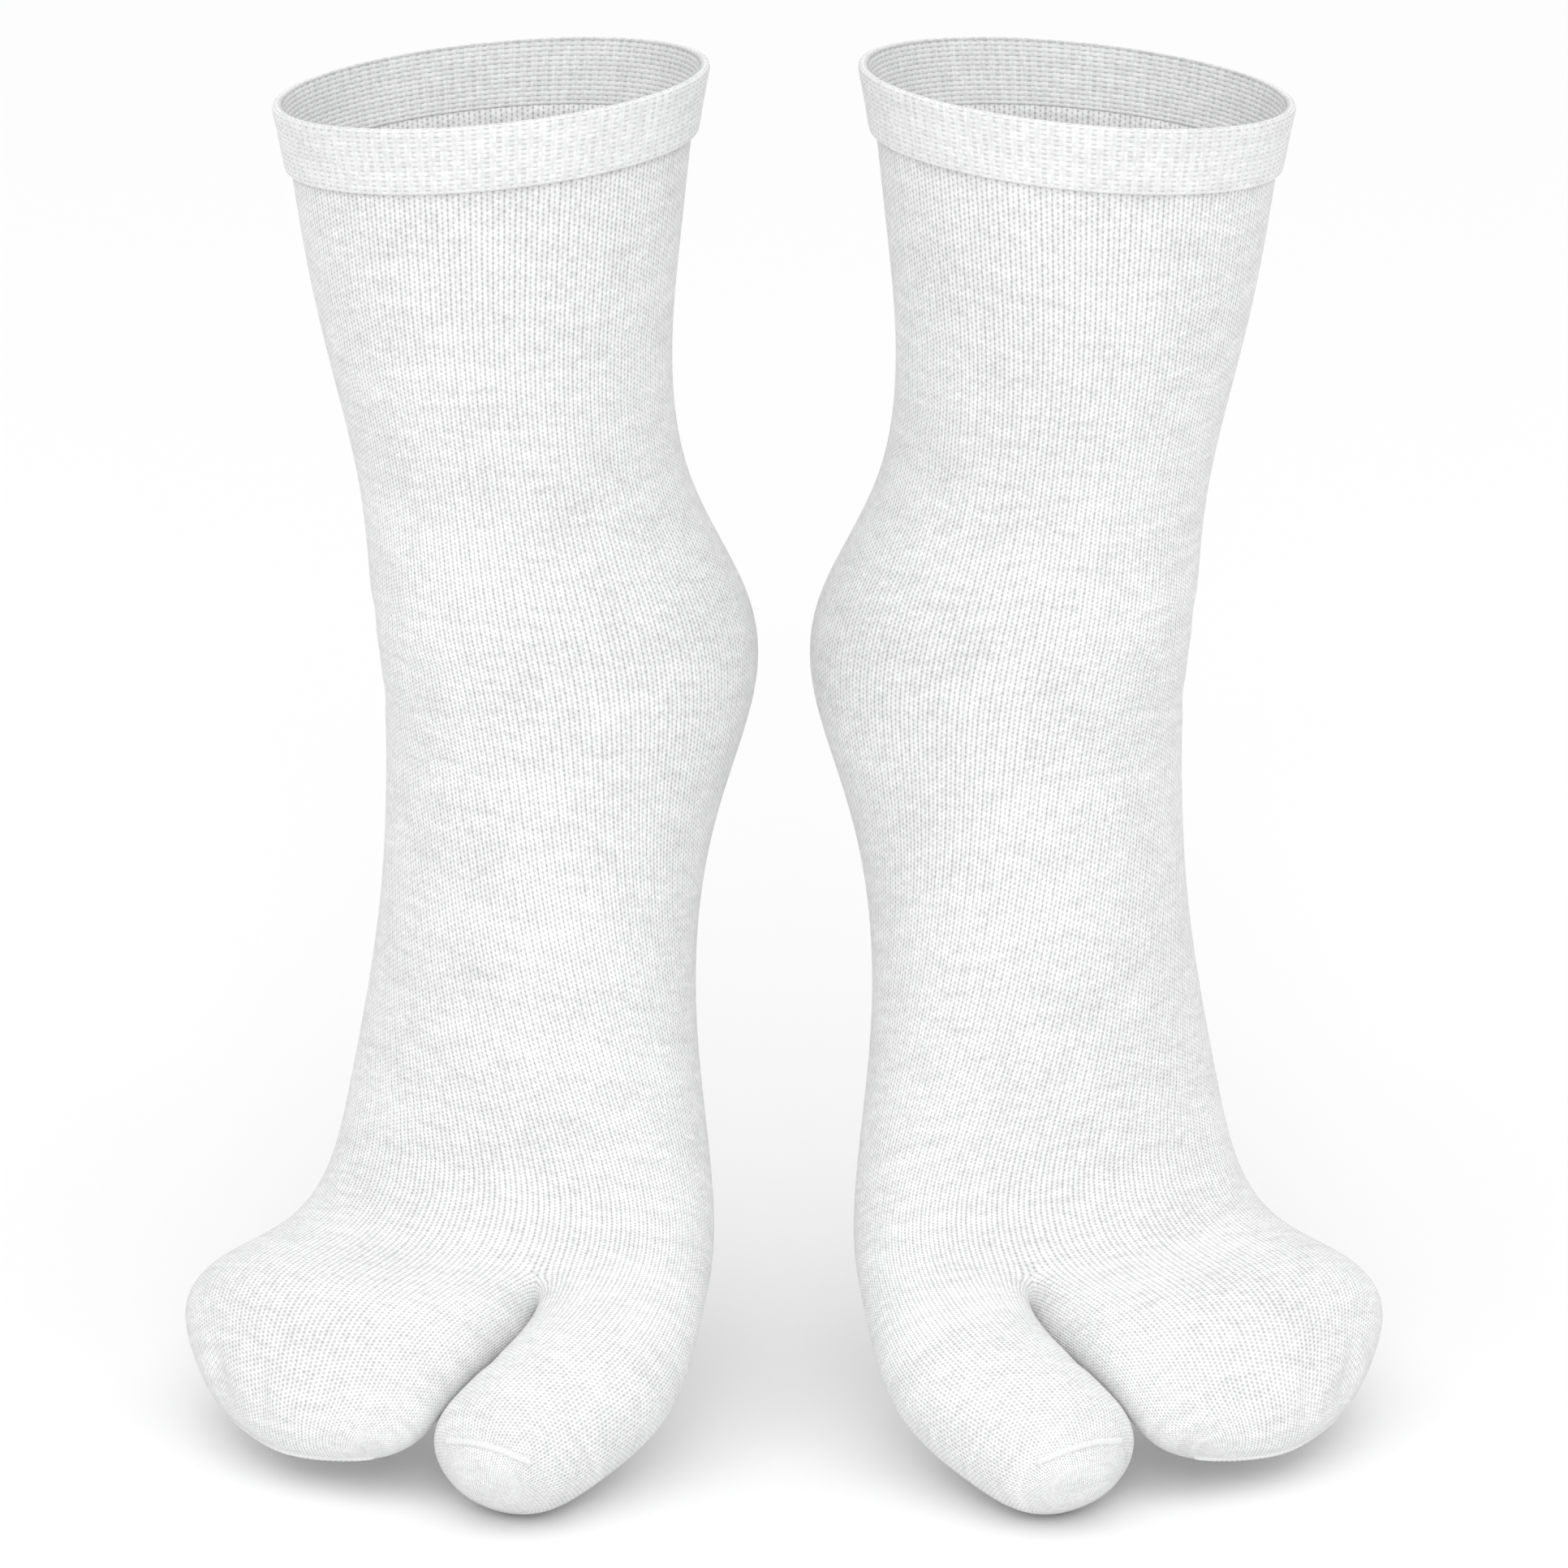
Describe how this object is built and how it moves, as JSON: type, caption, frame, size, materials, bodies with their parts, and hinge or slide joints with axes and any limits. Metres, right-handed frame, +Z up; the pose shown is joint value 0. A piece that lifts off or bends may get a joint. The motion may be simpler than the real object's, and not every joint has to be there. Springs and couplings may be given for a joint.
{
  "type": "pair of tabi socks",
  "caption": "Pale knitted socks with a split toe, hollow in worn form: open turned welt, shaped leg and heel, separate pockets for the big toe and the other toes.",
  "frame": {"origin": "midway between the two legs, at the height where each leg is narrowest, where the wearer's legs hold the socks up", "axes": "+Z up along the legs towards the mouths; -Y to the front, where the toes point; +X from the right sock to the left sock"},
  "size_m": [0.2896, 0.1499, 0.3295],
  "materials": {
    "knit": "fine mesh knit, matte",
    "rib": "double welt with float stitches, matte"
  },
  "bodies": {
    "root": {"sock_right": "knit", "welt_right": "rib", "sock_left": "knit", "welt_left": "rib"}
  },
  "joints": []
}
